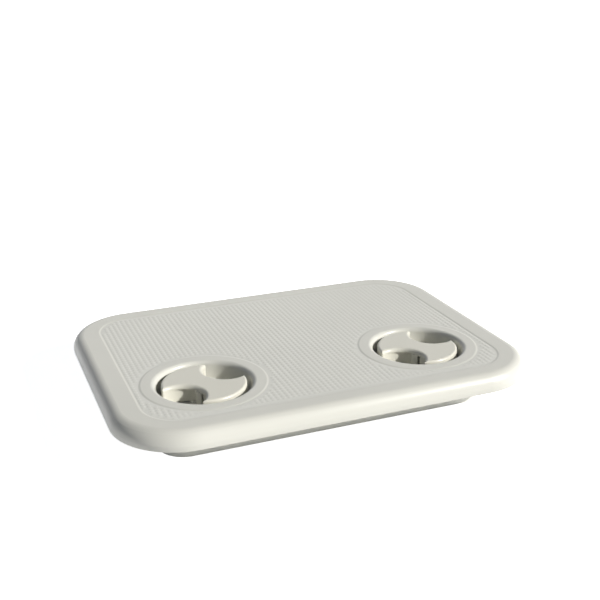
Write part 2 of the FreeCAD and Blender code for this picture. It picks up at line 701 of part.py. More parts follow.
def frame_ears(body):
    """Two ears for each hinge pin, whose arms reach back over the turning rear edge of the lid."""
    offset = (d.lug_width + d.ear_width) / 2 + d.hinge_gap
    parts = []
    for name, x in (("Inner", hinge_x - offset), ("Outer", hinge_x + offset)):
        arm = sketch_on(body, name + "ArmSection", "YZ_Plane", out=x)
        ear_top = hinge_z + d.hinge_eye
        arm_low = hinge_z - d.arm_drop
        foot = flange_rear - d.ear_foot
        draw_outline(arm, [(foot, flange_top - MARGIN), (flange_rear, flange_top - MARGIN),
                           (flange_rear, arm_low), (hinge_y, arm_low), (hinge_y, ear_top),
                           (foot, ear_top, d.ear_round)])
        parts.append(extrude(body, "Pad", name + "Arm", arm, d.ear_width, middle=True))
        eye = sketch_on(body, name + "EyeSection", "YZ_Plane", out=x)
        draw_circle(eye, hinge_y, hinge_z, d.hinge_eye)
        parts.append(extrude(body, "Pad", name + "Eye", eye, d.ear_width, middle=True))
    bore = sketch_on(body, "EarBore", "YZ_Plane", out=hinge_x)
    draw_circle(bore, hinge_y, hinge_z, d.pin_radius + d.shaft_fit)
    reach = d.lug_width + (d.hinge_gap + d.ear_width + MARGIN) * 2
    parts.append(extrude(body, "Pocket", "EarBores", bore, reach, middle=True))
    mirror(body, "EarPairs", parts)


def make_frame():
    body = new_body("frame")
    frame_walls(body)
    frame_screw_holes(body)
    frame_catches(body)
    frame_ears(body)
    return body


def make_hinge_pin(name, side):
    """A plain rod through the lid's lug and both ears, bevelled at its ends."""
    body = new_body(name)
    section = sketch_on(body, name + "_section", "YZ_Plane", out=hinge_x * side)
    draw_circle(section, hinge_y, hinge_z, d.pin_radius)
    rod = extrude(body, "Pad", name + "_rod", section,
                  d.lug_width + (d.hinge_gap + d.ear_width) * 2, middle=True)
    doc.recompute()
    bevel = body.newObject("PartDesign::Chamfer", name + "_bevel")
    bevel.Base = (rod, edges_where(rod.Shape, lambda edge: isinstance(edge.Curve, Part.Circle)))
    bind(bevel, Size=d.pin_bevel)
    return body


# Latches, each about its own upright axis

def slab(name, x, y, angle, near, far, left, right, low, high):
    """A block set out from an upright axis: near to far along a direction, left to right across it."""
    feature = doc.addObject("Part::Box", name)
    bind(feature, Length=far - near, Width=right - left, Height=high - low)
    corner_x = x + near * cosine(angle) - left * sine(angle)
    corner_y = y + near * sine(angle) + left * cosine(angle)
    place(feature, corner_x, corner_y, low, Rotation(Vector(0, 0, 1), angle.value))
    feature.setExpression("Placement.Rotation.Angle", angle.text)
    return feature


def bitten_plate(name, x, y, radius):
    """A round plate as high as the knob, with both finger bites through it."""
    body = new_body(name)
    rim = sketch_on(body, name + "_rim", "XY_Plane", out=knob_low)
    draw_circle(rim, x, y, radius)
    extrude(body, "Pad", name + "_blank", rim, knob_top - knob_low)
    bites = sketch_on(body, name + "_bites", "XY_Plane", out=knob_top)
    bite_x = d.bite_offset * cosine(d.bite_angle)
    bite_y = d.bite_offset * sine(d.bite_angle)
    for sign in (1, -1):
        draw_circle(bites, x + bite_x * sign, y + bite_y * sign, d.bite_radius)
    return body, extrude(body, "Pocket", name + "_cut", bites, knob_top - knob_low)


def round_edges(body, name, feature, wanted, radius):
    doc.recompute()
    fillet = body.newObject("PartDesign::Fillet", name)
    fillet.Base = (feature, edges_where(feature.Shape, wanted))
    bind(fillet, Radius=radius)


def knob_outside(name, x, y):
    """What a disc with a soft rim, the same disc with bites and a wider plate with soft bites share."""
    disc = new_body(name + "_disc")
    section = sketch_on(disc, name + "_disc_section", "XZ_Plane", x=x, out=-y)
    draw_outline(section, [(ZERO, knob_low), (d.knob_radius, knob_low),
                           (d.knob_radius, knob_top, d.knob_round), (ZERO, knob_top)])
    turn(disc, "Revolution", name + "_disc_turned", section)
    horned, cut = bitten_plate(name + "_horned", x, y, d.knob_radius)
    round_edges(horned, name + "_horns", cut, is_upright, d.horn_round)
    beyond = d.bite_offset + d.bite_radius + d.bite_round + MARGIN
    lipped, cut = bitten_plate(name + "_lipped", x, y, beyond)
    round_edges(lipped, name + "_lips", cut, is_bite_edge, d.bite_round)
    outside = combine("Common", name + "_bitten", disc, horned)
    return combine("Common", name + "_outside", outside, lipped)


def is_upright(edge):
    return isinstance(edge.Curve, Part.Line) and abs(edge.Curve.Direction.z) > 0.999


def is_bite_edge(edge):
    """Whether an edge is a finger bite's circle in the knob's top."""
    if not isinstance(edge.Curve, Part.Circle):
        return False
    return edge.Curve.Radius < d.knob_radius.value and edge.BoundBox.ZMin > knob_top.value - 1e-3


def beside_flat(name, x, y, angle, grow, high):
    """The undercut's space beside the flat rib of one bite, grown on all sides by a wall."""
    middle_x = x + d.bite_offset * cosine(angle) - d.under_shift * sine(angle)
    middle_y = y + d.bite_offset * sine(angle) + d.under_shift * cosine(angle)
    low = knob_low - MARGIN
    circle = cylinder(name + "_circle", d.under_radius + grow, low, high, middle_x, middle_y)
    edge = d.flat_shift - d.flat_width / 2 + grow
    side = slab(name + "_side", x, y, angle, ZERO, d.knob_radius * 2, -d.knob_radius, edge, low, high)
    return combine("Common", name, circle, side)


def knob_hollow(name, x, y):
    """The space inside a knob: what its skin, side walls, hub and webs leave open below."""
    hollow = cylinder(name + "_room", d.knob_radius - d.knob_wall,
                      knob_low - MARGIN, knob_top - d.knob_skin, x, y)
    hub = cylinder(name + "_hub", d.hub_radius, knob_low - MARGIN, knob_top, x, y)
    hollow = combine("Cut", name + "_room_hub", hollow, hub)
    for number in (0, 1):
        angle = d.bite_angle + 180 * number
        bite_x = x + d.bite_offset * cosine(angle)
        bite_y = y + d.bite_offset * sine(angle)
        wall = cylinder("%s_wall_%d" % (name, number), d.bite_radius + d.knob_wall,
                        knob_low - MARGIN, knob_top, bite_x, bite_y)
        hollow = combine("Cut", "%s_room_%d" % (name, number), hollow, wall)
        behind = beside_flat("%s_behind_%d" % (name, number), x, y, angle, d.knob_wall, knob_top)
        hollow = combine("Cut", "%s_room_behind_%d" % (name, number), hollow, behind)
    web = slab(name + "_web", x, y, d.bite_angle + 90, -d.knob_radius, d.knob_radius,
               -d.web_wall / 2, d.web_wall / 2, knob_low - MARGIN, knob_top)
    return combine("Cut", name + "_room_web", hollow, web)


def knob_shaft(name, x, y):
    """The shaft below a knob, with a groove for its sealing ring and a square end for the cam."""
    shaft = cylinder(name + "_round", d.shaft_radius, cam_top, knob_low + MARGIN, x, y)
    half = d.square_side / 2
    square = slab(name + "_square", x, y, ZERO, -half, half, -half, half, cam_low, cam_top)
    shaft = combine("Fuse", name + "_shaft", shaft, square)
    half_groove = d.ring_section + d.ring_gap
    groove_low = ring_level - half_groove
    groove_high = ring_level + half_groove
    groove = cylinder(name + "_groove", d.shaft_radius + MARGIN, groove_low, groove_high, x, y)
    core = cylinder(name + "_core", ring_core, groove_low, groove_high, x, y)
    groove = combine("Cut", name + "_groove_ring", groove, core)
    return combine("Cut", name + "_grooved", shaft, groove)


def make_knob(name, x, y):
    """A round moulded knob with two finger bites, hollow below, and its shaft in one piece with it."""
    knob = combine("Cut", name + "_shell", knob_outside(name, x, y), knob_hollow(name, x, y))
    flat_left = d.flat_shift - d.flat_width / 2
    flat_right = d.flat_shift + d.flat_width / 2
    slot_right = flat_right + d.slot_width
    flat_top = knob_top - d.flat_drop
    slot_top = knob_top - d.slot_drop
    under_top = knob_top - d.under_drop
    for number in (0, 1):
        angle = d.bite_angle + 180 * number
        under = beside_flat("%s_under_%d" % (name, number), x, y, angle, ZERO, under_top)
        knob = combine("Cut", "%s_with_under_%d" % (name, number), knob, under)
        flat = slab("%s_flat_%d" % (name, number), x, y, angle, bite_wall - MARGIN,
                    bite_wall + d.flat_proud, flat_left, flat_right, knob_low, flat_top)
        knob = combine("Fuse", "%s_with_flat_%d" % (name, number), knob, flat)
        slot = slab("%s_slot_%d" % (name, number), x, y, angle, bite_wall - d.slot_depth,
                    d.bite_offset, flat_right, slot_right, knob_low - MARGIN, slot_top)
        knob = combine("Cut", "%s_with_slot_%d" % (name, number), knob, slot)
    knob = combine("Fuse", name + "_with_shaft", knob, knob_shaft(name, x, y))
    pilot = cylinder(name + "_pilot", d.screw_radius + d.shaft_fit, cam_low - MARGIN,
                     screw_seat + d.screw_length + MARGIN, x, y)
    return combine("Cut", name, knob, pilot)


def make_ring(name, x, y):
    """The sealing ring in the shaft's groove."""
    ring = doc.addObject("Part::Torus", name)
    bind(ring, Radius1=ring_core + d.shaft_fit + d.ring_section, Radius2=d.ring_section)
    place(ring, x, y, ring_level)
    return ring


def make_washer(name, x, y, outer, inner, low, high):
    disc = cylinder(name + "_disc", outer, low, high, x, y)
    hole = cylinder(name + "_hole", inner, low - MARGIN, high + MARGIN, x, y)
    return combine("Cut", name, disc, hole)


def make_cam(name, x, y):
    """The tongue that turns under the frame's catch, with a square hole and a lead-in bevel."""
    body = new_body(name)
    outline = sketch_on(body, name + "_outline", "XY_Plane", x=x, y=y, out=cam_low)
    reach = d.cam_reach - d.cam_tip
    lean = math.acos((d.cam_hub.value - d.cam_tip.value) / reach.value)
    centre = Vector(0, 0, 0)
    tip_centre = Vector(reach.value, 0, 0)
    side = Vector(math.cos(lean), math.sin(lean), 0)
    other = Vector(math.cos(lean), -math.sin(lean), 0)
    hub_arc = add_arc(outline, centre, d.cam_hub.value, lean, 2 * math.pi - lean)
    low_line = add_line(outline, other * d.cam_hub.value, tip_centre + other * d.cam_tip.value)
    tip_arc = add_arc(outline, tip_centre, d.cam_tip.value, -lean, lean)
    high_line = add_line(outline, tip_centre + side * d.cam_tip.value, side * d.cam_hub.value)
    join(outline, "Tangent", hub_arc, 2, low_line, 1)
    join(outline, "Tangent", low_line, 2, tip_arc, 1)
    join(outline, "Tangent", tip_arc, 2, high_line, 1)
    join(outline, "Tangent", high_line, 2, hub_arc, 1)
    fix(outline, "Radius", hub_arc, d.cam_hub)
    fix(outline, "Radius", tip_arc, d.cam_tip)
    fix_point(outline, hub_arc, 3, ZERO, ZERO)
    fix_point(outline, tip_arc, 3, reach, ZERO)
    extrude(body, "Pad", name + "_plate", outline, d.cam_plate)
    hole = sketch_on(body, name + "_hole", "XY_Plane", x=x, y=y, out=cam_top)
    half = d.square_side / 2 + d.shaft_fit
    draw_box(hole, -half, half, -half, half)
    cut = extrude(body, "Pocket", name + "_square", hole, d.cam_plate)
    doc.recompute()
    bevel = body.newObject("PartDesign::Chamfer", name + "_bevel")
    beyond_hub = x.value + d.cam_hub.value * math.cos(lean) + 1e-3

    def leads_in(edge):
        box = edge.BoundBox
        return abs(box.ZMin - cam_top.value) < 1e-3 and edge.CenterOfMass.x > beyond_hub

    bevel.Base = (cut, edges_where(cut.Shape, leads_in))
    bind(bevel, Size=d.cam_bevel)
    return body


def make_screw(name, x, y):
    """A domed screw driven from below, with a cross recess."""
    body = new_body(name)
    section = sketch_on(body, name + "_section", "XZ_Plane", x=x, out=-y)
    head_low = screw_seat - d.screw_dome
    point = screw_seat + d.screw_length
    draw_outline(section, [(ZERO, head_low), (d.screw_head, head_low, d.screw_round),
                           (d.screw_head, screw_seat), (d.screw_radius, screw_seat),
                           (d.screw_radius, point), (ZERO, point)])
    turn(body, "Revolution", name + "_turned", section)
    cross = sketch_on(body, name + "_cross", "XY_Plane", x=x, y=y, out=head_low)
    arm = d.recess_reach
    half = d.recess_width / 2
    draw_outline(cross, [(arm, -half), (arm, half), (half, half), (half, arm),
                         (-half, arm), (-half, half), (-arm, half), (-arm, -half),
                         (-half, -half), (-half, -arm), (half, -arm), (half, -half)])
    extrude(body, "Pocket", name + "_recess", cross, d.recess_depth, reverse=True)
    return body


def make_latch(side, x, y):
    """Everything that turns about one latch axis."""
    return [
        make_knob("knob_" + side, x, y),
        make_ring("shaft_ring_" + side, x, y),
        make_washer("thrust_washer_" + side, x, y, d.thrust_radius, bore_radius,
                    well_level + d.thrust_gap, knob_low),
        make_cam("cam_" + side, x, y),
        make_washer("cam_washer_" + side, x, y, d.washer_radius, d.screw_radius + d.shaft_fit,
                    screw_seat, cam_low),
        make_screw("cam_screw_" + side, x, y),
    ]


pieces = [make_frame(), make_lid(), make_seal()]
pieces += [make_hinge_pin("hinge_pin_right", 1), make_hinge_pin("hinge_pin_left", -1)]
pieces += make_latch("right", latch_x, latch_y) + make_latch("left", -latch_x, latch_y)
doc.recompute()

for feature in doc.Objects:
    if "Invalid" in feature.State or "Error" in feature.State:
        raise RuntimeError("%s did not build: %s" % (feature.Label, feature.State))
for piece in pieces:
    if piece.Shape.isNull() or not piece.Shape.isValid() or len(piece.Shape.Solids) != 1:
        raise RuntimeError(piece.Label + " is not one sound solid")

os.makedirs("parts", exist_ok=True)
for piece in pieces:
    piece.Shape.exportStep(os.path.join("parts", piece.Label + ".step"))
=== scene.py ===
import math

import bmesh
import bpy
from mathutils import Matrix, Vector
from mathutils.geometry import delaunay_2d_cdt


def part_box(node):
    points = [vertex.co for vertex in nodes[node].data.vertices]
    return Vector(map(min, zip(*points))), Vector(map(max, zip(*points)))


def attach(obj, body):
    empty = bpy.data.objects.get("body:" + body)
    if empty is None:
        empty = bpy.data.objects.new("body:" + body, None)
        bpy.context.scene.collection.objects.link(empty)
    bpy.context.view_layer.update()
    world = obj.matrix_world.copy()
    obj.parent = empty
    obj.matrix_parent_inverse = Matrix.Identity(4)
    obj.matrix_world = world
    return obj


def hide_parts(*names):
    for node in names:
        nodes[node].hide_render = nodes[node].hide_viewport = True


# Locker hatch for a boat's deck, closed, seen from the front left. Metres.

MM = 0.001
UP = Vector((0, 0, 1))

# Sizes of the lid's top

PANEL_LENGTH = 327.6 * MM
PANEL_WIDTH = 234.0 * MM
PANEL_CORNER = 33.5 * MM
PANEL_DEPTH = 0.35 * MM
ISLAND_RADIUS = 54.6 * MM
WELL_MOUTH = 45.1 * MM        # just inside the rounding of a well's mouth
STEP_INNER = 0.8 * MM         # how far a soft step reaches from the panel's drawn edge to its low side
PANEL_STEP_OUTER = 1.7 * MM   # and to its high side, round the panel
ISLAND_STEP_OUTER = 1.6 * MM  # and round the islands
TREAD_PITCH = 4.6 * MM
TREAD_BASE = 3.5 * MM
TREAD_CREST = 1.5 * MM
TREAD_HEIGHT = 0.35 * MM
TREAD_MARGIN = 1.0 * MM

# How finely the lid's top is made

STEP_ROWS = 7
CORNER_STEPS = 12
ISLAND_STEPS = 96
SHARP_ANGLE = 28              # degrees between faces from which an edge shows as sharp
WELD = 0.001 * MM
CROSSING = 1e-7               # outlines nearer than this, in metres, would join
UPRIGHT = 0.01                # an upright face's normal rises less than this
OWN_NORMAL = "own_normal"
NOTED = 0.5                   # a noted normal is 1 long, and the one of a new face is 0
SHELL_SLOT = 0
TREAD_SLOT = 1

# The photograph's camera

CAMERA_LENS = 56.15
CAMERA_AZIMUTH = -21.81
CAMERA_ELEVATION = 20.20
CAMERA_ROLL = -0.31
CAMERA_DISTANCE = 979.5 * MM
CAMERA_TARGET = (47.24 * MM, 99.01 * MM)
CAMERA_NEAR = 0.01
CAMERA_FAR = 100

# Light, background and floor. Heights in the world go from 0 level to 1 straight up.

SUN_AZIMUTH = 49
SUN_ELEVATION = 30
SUN_STRENGTH = 4.75
SUN_SPREAD = 3
SUN_COLOUR = (1.0, 0.98, 0.94)
WALL_LIGHT = (0.05, 0.07, 0.12)
WALL_HEIGHT = 0.35
CEILING_LIGHT = (0.100, 0.113, 0.135)
WHITE = (1, 1, 1)
WHITE_TO = 0.42
DIM_FROM = 0.75
CEILING_SEEN = (0.35, 0.36, 0.38)
FLOOR_REACH = 60.0
FLOOR_COLOUR = (0.93, 0.93, 0.93)
FLOOR_LIFT = 0.90

# Colours, and the direction in which each steel's tool lines are drawn out

LID_COLOUR = (0.632, 0.628, 0.574)
# The tread is the shell's own plastic, painted lighter: a painted highlight that stands in for light on its
# bumps.
TREAD_COLOUR_PAINTED_HIGHLIGHT = (0.662, 0.660, 0.612)
KNOB_COLOUR = (0.648, 0.636, 0.560)
# The frame is painted paler than the shell's plastic: painted light on the collar, which sits in the lid's
# shade.
FRAME_COLOUR_PAINTED_LIGHT = (0.760, 0.760, 0.710)
SEAL_COLOUR = (0.016, 0.016, 0.017)
STEEL_COLOUR = (0.63, 0.62, 0.60)
CAM_COLOUR = (0.47, 0.47, 0.45)
WASHER_COLOUR = (0.70, 0.69, 0.64)
LINES_ALONG_Z = (1, 1, 0.02)
LINES_ALONG_X = (0.02, 1, 1)

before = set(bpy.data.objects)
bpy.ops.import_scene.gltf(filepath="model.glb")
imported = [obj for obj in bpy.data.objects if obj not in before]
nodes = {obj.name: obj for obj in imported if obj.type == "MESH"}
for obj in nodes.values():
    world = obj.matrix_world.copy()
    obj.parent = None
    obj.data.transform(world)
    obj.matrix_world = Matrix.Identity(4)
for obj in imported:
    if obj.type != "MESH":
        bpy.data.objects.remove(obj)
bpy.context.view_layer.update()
scene = bpy.context.scene

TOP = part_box("lid")[1].z
PANEL_FLOOR = TOP - PANEL_DEPTH
LATCHES = []
for side in ("right", "left"):
    low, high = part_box("knob_" + side)
    LATCHES.append(((low + high) / 2).to_2d())


def toward(azimuth, elevation):
    """The direction to something at an azimuth, 0 at the front and 90 at the right, and an elevation."""
    a = math.radians(azimuth)
    e = math.radians(elevation)
    return Vector((math.sin(a) * math.cos(e), -math.cos(a) * math.cos(e), math.sin(e)))


# Materials

class Shader:
    """A material's node tree, with short calls to add and join nodes."""

    def __init__(self, name):
        self.material = bpy.data.materials.new(name)
        self.material.use_nodes = True
        self.tree = self.material.node_tree
        self.tree.nodes.clear()
        self.output = self.add("ShaderNodeOutputMaterial")
        self.place = self.add("ShaderNodeTexCoord").outputs["Object"]

    def add(self, kind, **values):
        node = self.tree.nodes.new(kind)
        for name, value in values.items():
            setattr(node, name, value)
        return node

    def join(self, source, target):
        self.tree.links.new(source, target)

    def principled(self, **inputs):
        node = self.add("ShaderNodeBsdfPrincipled")
        for name, value in inputs.items():
            node.inputs[name.replace("_", " ")].default_value = value
        self.join(node.outputs["BSDF"], self.output.inputs["Surface"])
        return node

    def noise(self, scale, detail=2.0, stretch=None):
        """Noise in the part's own metres: scale is in cells per metre."""
        node = self.add("ShaderNodeTexNoise")
        node.inputs["Scale"].default_value = scale
        node.inputs["Detail"].default_value = detail
        source = self.place
        if stretch:
            mapping = self.add("ShaderNodeMapping")
            mapping.inputs["Scale"].default_value = stretch
            self.join(source, mapping.inputs["Vector"])
            source = mapping.outputs["Vector"]
        self.join(source, node.inputs["Vector"])
        return node.outputs["Fac"]

    def between(self, factor, low, high, start=0.35, end=0.65):
        """A number that goes from low to high as the factor goes from start to end."""
        node = self.add("ShaderNodeMapRange")
        for name, value in (("From Min", start), ("From Max", end), ("To Min", low), ("To Max", high)):
            node.inputs[name].default_value = value
        self.join(factor, node.inputs["Value"])
        return node.outputs["Result"]

    def blend(self, factor, first, second):
        """A colour between two, by a factor from 0 to 1."""
        node = self.add("ShaderNodeMix", data_type="RGBA")
        node.inputs["A"].default_value = (*first, 1)
        node.inputs["B"].default_value = (*second, 1)
        self.join(factor, node.inputs["Factor"])
        return node.outputs["Result"]

    def bump(self, shader, height, distance, strength=1.0):
        node = self.add("ShaderNodeBump")
        node.inputs["Distance"].default_value = distance
        node.inputs["Strength"].default_value = strength
        self.join(height, node.inputs["Height"])
        self.join(node.outputs["Normal"], shader.inputs["Normal"])


def shade(colour, factor):
    return tuple(channel * factor for channel in colour)


def moulded_plastic(name, colour, roughness, change=0.015):
    """Satin weather-resistant plastic: a fine etched mould texture and slow, faint changes of tone."""
    shader = Shader(name)
    plastic = shader.principled(IOR=1.48, Specular_IOR_Level=0.45)
    clouds = shader.between(shader.noise(scale=14, detail=3), low=0, high=1)
    tone = shader.blend(clouds, shade(colour, 0.985), shade(colour, 1.01))
    shader.join(tone, plastic.inputs["Base Color"])
    patches = shader.noise(scale=30, detail=2)
    sheen = shader.between(patches, low=roughness - change, high=roughness + change)
    shader.join(sheen, plastic.inputs["Roughness"])
    shader.bump(plastic, shader.noise(scale=2600, detail=1), distance=0.02 * MM, strength=0.35)
    return shader.material


def rubber(name, colour):
    """Matt black rubber with a faint paler bloom."""
    shader = Shader(name)
    soft = shader.principled(IOR=1.5)
    bloom = shader.between(shader.noise(scale=60, detail=4), low=0, high=1)
    shader.join(shader.blend(bloom, colour, shade(colour, 1.8)), soft.inputs["Base Color"])
    shader.join(shader.between(shader.noise(scale=400), low=0.55, high=0.75), soft.inputs["Roughness"])
    shader.bump(soft, shader.noise(scale=1800), distance=0.03 * MM, strength=0.5)
    return shader.material


def stainless(name, colour, stretch):
    """Turned or drawn stainless steel, with fine tool lines drawn out in the stretched direction."""
    shader = Shader(name)
    steel = shader.principled(Metallic=1.0)
    lines = shader.noise(scale=1500, detail=3, stretch=stretch)
    tone = shader.blend(shader.between(lines, low=0, high=1), shade(colour, 0.88), colour)
    shader.join(tone, steel.inputs["Base Color"])
    shader.join(shader.between(lines, low=0.22, high=0.38), steel.inputs["Roughness"])
    shader.bump(steel, lines, distance=0.004 * MM)
    return shader.material


def filled_nylon(name, colour, roughness):
    """Matt glass-filled nylon, faintly speckled."""
    shader = Shader(name)
    nylon = shader.principled(IOR=1.53)
    specks = shader.between(shader.noise(scale=3000, detail=1), low=0, high=1, start=0.45, end=0.7)
    shader.join(shader.blend(specks, colour, shade(colour, 0.93)), nylon.inputs["Base Color"])
    worn = shader.between(shader.noise(scale=200), low=roughness, high=roughness + 0.12)
    shader.join(worn, nylon.inputs["Roughness"])
    shader.bump(nylon, shader.noise(scale=2200), distance=0.02 * MM, strength=0.6)
    return shader.material


shell = moulded_plastic("shell_plastic", LID_COLOUR, roughness=0.31)
# Tread plastic with a painted highlight: its colour is lighter than the shell's, though it is the same
# plastic.
tread = moulded_plastic("tread_plastic_painted_highlight", TREAD_COLOUR_PAINTED_HIGHLIGHT, roughness=0.38)
# Frame plastic with painted light: its pale colour stands in for bounce light on the shaded collar.
frame_plastic_painted_light = moulded_plastic("frame_plastic_painted_light", FRAME_COLOUR_PAINTED_LIGHT, roughness=0.36)
knob_plastic = moulded_plastic("knob_plastic", KNOB_COLOUR, roughness=0.31)
seal_rubber = rubber("seal_rubber", SEAL_COLOUR)
turned_steel = stainless("turned_steel", STEEL_COLOUR, LINES_ALONG_Z)
drawn_steel = stainless("drawn_steel", STEEL_COLOUR, LINES_ALONG_X)
cam_nylon = filled_nylon("cam_nylon", CAM_COLOUR, roughness=0.5)
washer_nylon = filled_nylon("washer_nylon", WASHER_COLOUR, roughness=0.4)

# How a node's name starts, and its material. The first that fits counts.

FINISHES = (
    ("knob", knob_plastic),
    ("frame", frame_plastic_painted_light),
    ("cam_screw", turned_steel),
    ("cam_washer", turned_steel),
    ("cam", cam_nylon),
    ("hinge_pin", drawn_steel),
    ("thrust_washer", washer_nylon),
    ("shaft_ring", seal_rubber),
    ("lid_seal", seal_rubber),
    ("lid", shell),
)


def paint_nodes():
    for name, node in nodes.items():
        finish = next(material for start, material in FINISHES if name.startswith(start))
        node.data.materials.clear()
        node.data.materials.append(finish)


# Outlines on the lid's top

def ring(centre, radius, count):
    turn = 2 * math.pi / count
    return [centre + Vector((math.cos(i * turn), math.sin(i * turn))) * radius for i in range(count)]


def rounded_rectangle(half_x, half_y, radius, steps):
    """Points of a rounded rectangle about the middle, anticlockwise."""
    points = []
    for corner, (x, y) in enumerate(((1, 1), (-1, 1), (-1, -1), (1, -1))):
        centre = Vector((x * (half_x - radius), y * (half_y - radius)))
        for step in range(steps + 1):
            angle = (corner + step / steps) * math.pi / 2
            points.append(centre + Vector((math.cos(angle), math.sin(angle))) * radius)
    return points


def square(middle, side):
    half = side / 2
    return [middle + Vector((x * half, y * half)) for x, y in ((-1, -1), (1, -1), (1, 1), (-1, 1))]


def inside_rounded(point, half_x, half_y, radius):
    """True for a point inside a rounded rectangle about the middle."""
    over_x = abs(point.x) - (half_x - radius)
    over_y = abs(point.y) - (half_y - radius)
    if over_x <= 0 or over_y <= 0:
        return max(over_x, over_y) <= radius
    return math.hypot(over_x, over_y) <= radius


def in_well(point):
    return any((point - latch).length < WELL_MOUTH for latch in LATCHES)


def soft_step(outer):
    """Rows (how far outward, how far down) through a soft step, from its high side to its low one."""
    rows = []
    for row in range(STEP_ROWS):
        share = row / (STEP_ROWS - 1)
        outward = outer - share * (outer + STEP_INNER)
        rows.append((outward, PANEL_DEPTH * (1 - math.cos(math.pi * share)) / 2))
    return rows


def tread_places():
    """The middles of the whole bumps that fit between the panel's border and the islands."""
    reach = TREAD_BASE / 2
    half_x = PANEL_LENGTH / 2 - TREAD_MARGIN
    half_y = PANEL_WIDTH / 2 - TREAD_MARGIN
    corner = PANEL_CORNER - TREAD_MARGIN
    keep_out = ISLAND_RADIUS + TREAD_MARGIN
    columns = int(half_x / TREAD_PITCH)
    rows = int(half_y / TREAD_PITCH)
    for column in range(-columns, columns + 1):
        for row in range(-rows, rows + 1):
            middle = Vector((column * TREAD_PITCH, row * TREAD_PITCH))
            corners = [middle + Vector((x * reach, y * reach)) for x in (-1, 1) for y in (-1, 1)]
            if not all(inside_rounded(point, half_x, half_y, corner) for point in corners):
                continue
            if any((point - latch).length < keep_out for point in corners for latch in LATCHES):
                continue
            yield middle


class Sheet:
    """Outlines to stitch into one skin. Each point has a vertex of the mesh, and an edge joins two points."""

    def __init__(self, mesh):
        self.mesh = mesh
        self.points = []
        self.edges = []
        self.verts = []

    def add_loop(self, places, height):
        """Adds a closed outline at a height, and returns the number of its first point."""
        first = len(self.points)
        for place in places:
            self.points.append(place)
            self.verts.append(self.mesh.verts.new((place.x, place.y, height)))
        self.edges.extend((first + i, first + (i + 1) % len(places)) for i in range(len(places)))
        return first

    def add_rim(self, rim_edges):
        """Adds edges that the mesh already has, with their own vertices."""
        known = {}
        for edge in rim_edges:
            pair = []
            for vert in edge.verts:
                if vert not in known:
                    known[vert] = len(self.points)
                    self.points.append(vert.co.to_2d())
                    self.verts.append(vert)
                pair.append(known[vert])
            self.edges.append(tuple(pair))


# Lid, with its tread in full

def face_heights(face):
    heights = [vert.co.z for vert in face.verts]
    return min(heights), max(heights)


def open_top(mesh):
    """Takes the flat top off, between the soft edge and the wells, and returns the edges left open."""
    gone = []
    for face in mesh.faces:
        lowest, highest = face_heights(face)
        if lowest < PANEL_FLOOR - WELD:
            continue
        flat = lowest > TOP - WELD
        wall = abs(face.normal.z) < UPRIGHT and highest > TOP - WELD and lowest < PANEL_FLOOR + WELD
        middle = face.calc_center_median().to_2d()
        in_panel = inside_rounded(middle, PANEL_LENGTH / 2, PANEL_WIDTH / 2, PANEL_CORNER)
        if flat or wall or (in_panel and not in_well(middle)):
            gone.append(face)
    bmesh.ops.delete(mesh, geom=gone, context="FACES")
    return [edge for edge in mesh.edges if len(edge.link_faces) == 1]


def outline_steps(sheet):
    """Adds the rows of the soft steps round the panel and the islands."""
    for outward, drop in soft_step(PANEL_STEP_OUTER):
        half_x = PANEL_LENGTH / 2 + outward
        half_y = PANEL_WIDTH / 2 + outward
        outline = rounded_rectangle(half_x, half_y, PANEL_CORNER + outward, CORNER_STEPS)
        sheet.add_loop(outline, TOP - drop)
    for outward, drop in soft_step(ISLAND_STEP_OUTER):
        for latch in LATCHES:
            sheet.add_loop(ring(latch, ISLAND_RADIUS - outward, ISLAND_STEPS), TOP - drop)


def outline_bumps(sheet):
    """Adds each bump's foot, and returns the bumps' middles with the number of each foot's first point."""
    bumps = []
    for middle in tread_places():
        bumps.append((middle, sheet.add_loop(square(middle, TREAD_BASE), PANEL_FLOOR)))
    return bumps


def stitch(sheet, bumps):
    """Fills between the outlines with triangles, but not in the wells or inside the bumps' feet."""
    bump_of = {first + i: first for middle, first in bumps for i in range(4)}
    made, _, triangles, origins, _, _ = delaunay_2d_cdt(sheet.points, sheet.edges, [], 0, CROSSING, True)
    if len(made) != len(sheet.points):
        raise RuntimeError("the outlines on the lid's top cross")
    numbers = [origin[0] for origin in origins]
    for triangle in triangles:
        if in_well(sum((made[i] for i in triangle), Vector((0, 0))) / 3):
            continue
        owners = {bump_of.get(numbers[i]) for i in triangle}
        if len(owners) == 1 and None not in owners:
            continue
        face = sheet.mesh.faces.new([sheet.verts[numbers[i]] for i in triangle])
        level_floor = face_heights(face)[1] < PANEL_FLOOR + WELD
        face.material_index = TREAD_SLOT if level_floor else SHELL_SLOT


def raise_bumps(sheet, bumps):
    """Stands a square bump with sloping sides on each foot."""
    mesh = sheet.mesh
    crest_height = PANEL_FLOOR + TREAD_HEIGHT
    for middle, first in bumps:
        crest = [mesh.verts.new((p.x, p.y, crest_height)) for p in square(middle, TREAD_CREST)]
        foot = sheet.verts[first:first + 4]
        faces = [mesh.faces.new(crest)]
        for i in range(4):
            j = (i + 1) % 4
            faces.append(mesh.faces.new((foot[i], foot[j], crest[j], crest[i])))
        for face in faces:
            face.material_index = TREAD_SLOT


def note_normals(mesh, source):
    """Writes the solid's own corner normals into a layer, where faces keep them through later edits."""
    own = mesh.loops.layers.float_vector.new(OWN_NORMAL)
    for face, polygon in zip(mesh.faces, source.polygons):
        for loop, corner in zip(face.loops, polygon.loop_indices):
            loop[own] = source.corner_normals[corner].vector


